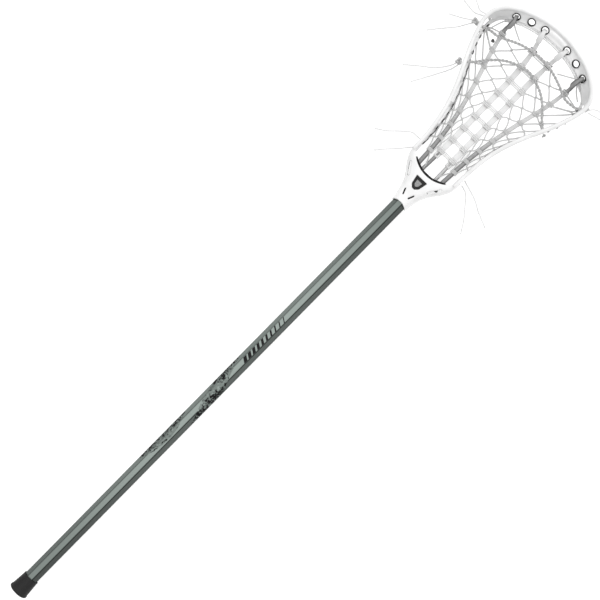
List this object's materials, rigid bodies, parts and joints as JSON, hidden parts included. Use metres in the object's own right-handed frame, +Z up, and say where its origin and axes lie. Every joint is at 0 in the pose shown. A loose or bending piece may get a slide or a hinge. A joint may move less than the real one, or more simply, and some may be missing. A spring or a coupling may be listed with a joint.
{
  "type": "lacrosse stick",
  "caption": "Women's lacrosse stick: octagonal tube shaft with a rubber butt cap, a moulded head with a scoop, and a strung pocket of thongs, lacing and shooting strings.",
  "frame": {"origin": "middle of the stick's footprint, on the surface it lies on, with the loose string tails left out", "axes": "+X along the stick from the butt cap to the scoop, +Z up out of the open front of the pocket, +Y to the left of the pocket seen from the front with the scoop up"},
  "size_m": [1.0924, 0.3078, 0.0666],
  "materials": {
    "anodised_tube": "satin grey-green anodised",
    "cap_rubber": "matte moulded",
    "moulded_plastic": "smooth moulded, white",
    "pad_foam": "matte closed-cell foam",
    "badge_inlay": "satin, black",
    "ring_black": "matte, black",
    "screw_steel": "plated",
    "grey_thong": "grey, smooth side up",
    "white_thong": "flat woven strap, off-white",
    "pocket_lace": "braided nylon lace, off-white",
    "shooting_cord": "twisted nylon cord, mid grey",
    "tail_cord": "braided nylon lace, light grey"
  },
  "bodies": {
    "stick": {"shaft": "anodised_tube", "head": "moulded_plastic", "ball_stop": "pad_foam", "throat_badge": "badge_inlay", "thong_outer_left": "grey_thong", "thong_outer_right": "grey_thong", "thong_inner_left": "white_thong", "thong_inner_right": "white_thong", "ladder_lacing": "pocket_lace", "cross_lacing_left": "pocket_lace", "cross_lacing_right": "pocket_lace", "sidewall_string_left": "pocket_lace", "sidewall_string_right": "pocket_lace", "scoop_string": "pocket_lace", "shooting_string_upper": "shooting_cord", "shooting_string_lower": "shooting_cord", "scoop_ring_1": "ring_black", "scoop_ring_2": "ring_black", "scoop_ring_3": "ring_black", "scoop_ring_4": "ring_black", "scoop_ring_5": "ring_black", "scoop_ring_6": "ring_black", "knot_upper_left": "shooting_cord", "knot_upper_right": "shooting_cord", "knot_lower_left": "shooting_cord", "knot_lower_right": "shooting_cord", "knot_scoop_left": "shooting_cord", "tail_upper_left_1": "tail_cord", "tail_upper_left_2": "tail_cord", "tail_lower_left_1": "tail_cord", "tail_lower_left_2": "tail_cord", "tail_scoop_left_1": "tail_cord", "tail_scoop_left_2": "tail_cord", "tail_throat_left_1": "tail_cord", "tail_throat_left_2": "tail_cord", "tail_throat_right_1": "tail_cord", "tail_throat_right_2": "tail_cord", "tail_upper_right_1": "tail_cord", "tail_upper_right_2": "tail_cord"},
    "butt_cap": {"butt_cap": "cap_rubber"},
    "head_screw": {"head_screw": "screw_steel"}
  },
  "joints": [
    {"name": "butt_cap_pull", "type": "slide", "parent": "stick", "child": "butt_cap", "axis": [-1, 0, 0], "range_m": [0, 0.032]},
    {"name": "head_screw_back_out", "type": "slide", "parent": "stick", "child": "head_screw", "axis": [0, 0, -1], "range_m": [0, 0.014]}
  ]
}
